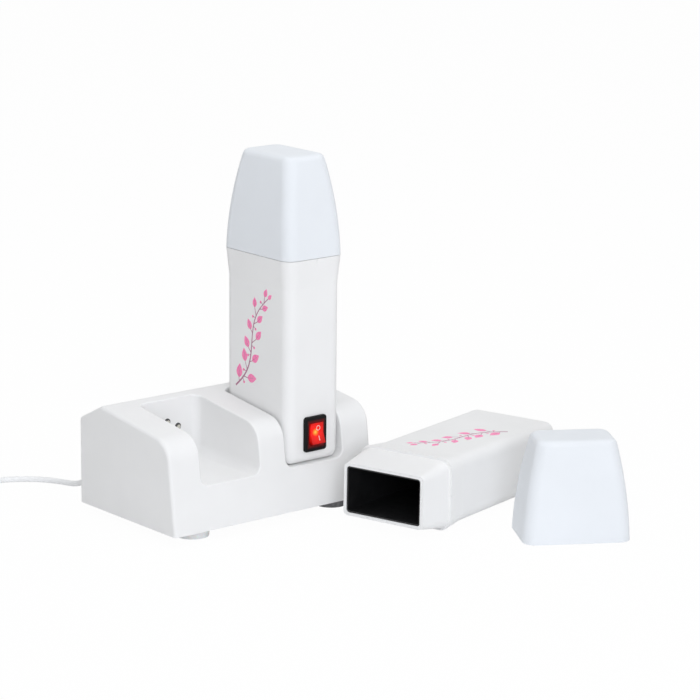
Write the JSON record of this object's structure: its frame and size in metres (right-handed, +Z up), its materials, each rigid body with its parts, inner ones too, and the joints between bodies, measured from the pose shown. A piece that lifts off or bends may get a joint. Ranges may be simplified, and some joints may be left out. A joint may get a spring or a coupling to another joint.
{
  "type": "roll on wax heater",
  "caption": "Twin dock for roll-on wax heaters: one capped heater with a lit rocker switch stands in a bay, the other lies open beside it with its cap off.",
  "frame": {"origin": "on the table, under the middle of the box round the dock, both heaters and both caps (without the cord)", "axes": "+X to the right along the front of the dock, +Y to the back, +Z up"},
  "size_m": [0.4214, 0.3841, 0.2487],
  "materials": {
    "case_white": "moulded, satin gloss",
    "cap_white": "moulded, satin gloss",
    "cover_white": "fine grain",
    "foot_pale": "soft matt",
    "foot_dark": "soft matt",
    "screw_steel": "plated",
    "block_black": "matt",
    "block_grey": "matt",
    "contact_metal": "bright",
    "lead_insulation": "matt",
    "cord_sheath": "matt PVC",
    "tie_black": "matt",
    "pin_nickel": "plated",
    "sleeve_black": "matt",
    "plate_aluminium": "rolled",
    "element_silicone": "matt",
    "switch_black": "satin",
    "lamp_glass": "clear",
    "rocker_red": "clear red, lit"
  },
  "bodies": {
    "base": {"base_housing": "case_white", "bottom_cover": "cover_white", "contact_block_left": "block_black", "contact_block_right": "block_black", "contact_studs_left": "contact_metal", "contact_studs_right": "contact_metal", "cord_coil": "cord_sheath", "cord_tie": "tie_black", "cover_screws": "screw_steel", "foot_front_left": "foot_pale", "foot_front_right": "foot_dark", "foot_rear_left": "foot_pale", "foot_rear_right": "foot_dark", "leads_left": "lead_insulation", "leads_right": "lead_insulation", "mains_cord": "cord_sheath", "plug_body": "cord_sheath", "plug_lead": "cord_sheath", "plug_pins": "pin_nickel", "strain_relief": "cord_sheath", "supply_leads": "lead_insulation", "terminal_block": "block_grey"},
    "heater_a": {"cartridge_sleeve_a": "sleeve_black", "case_screws_a": "screw_steel", "contact_pads_a": "contact_metal", "heating_element_a": "element_silicone", "heating_plate_a": "plate_aluminium", "indicator_lamp_a": "lamp_glass", "shell_left_a": "case_white", "shell_right_a": "case_white", "switch_housing_a": "switch_black", "switch_terminals_a": "contact_metal", "thermal_cutout_a": "block_black"},
    "rocker_a": {"rocker_a": "rocker_red"},
    "cap_a": {"cap_a": "cap_white"},
    "heater_b": {"cartridge_sleeve_b": "sleeve_black", "case_screws_b": "screw_steel", "contact_pads_b": "contact_metal", "heating_element_b": "element_silicone", "heating_plate_b": "plate_aluminium", "indicator_lamp_b": "lamp_glass", "shell_left_b": "case_white", "shell_right_b": "case_white", "switch_housing_b": "switch_black", "switch_terminals_b": "contact_metal", "thermal_cutout_b": "block_black"},
    "rocker_b": {"rocker_b": "rocker_red"},
    "cap_b": {"cap_b": "cap_white"}
  },
  "joints": [
    {"name": "heater_a_lift", "type": "slide", "parent": "base", "child": "heater_a", "axis": [0, 0, 1], "range_m": [0, 0.08]},
    {"name": "cap_a_pull", "type": "slide", "parent": "heater_a", "child": "cap_a", "axis": [0, 0, 1], "range_m": [0, 0.04]},
    {"name": "rocker_a_tilt", "type": "hinge", "parent": "heater_a", "child": "rocker_a", "pos_m": [-0.02858, 0.03784, 0.0571], "axis": [1, 0, 0], "range_deg": [0, 22]},
    {"name": "heater_b_lift", "type": "slide", "parent": "base", "child": "heater_b", "axis": [0, 0, 1], "range_m": [0, 0.08]},
    {"name": "rocker_b_tilt", "type": "hinge", "parent": "heater_b", "child": "rocker_b", "pos_m": [0.11351, 0.04845, 0.02353], "axis": [-0.0127, -0.0036, -0.9999], "range_deg": [0, 22]},
    {"name": "cap_b_lift", "type": "slide", "parent": "base", "child": "cap_b", "axis": [0, 0, 1], "range_m": [0, 0.08]}
  ]
}
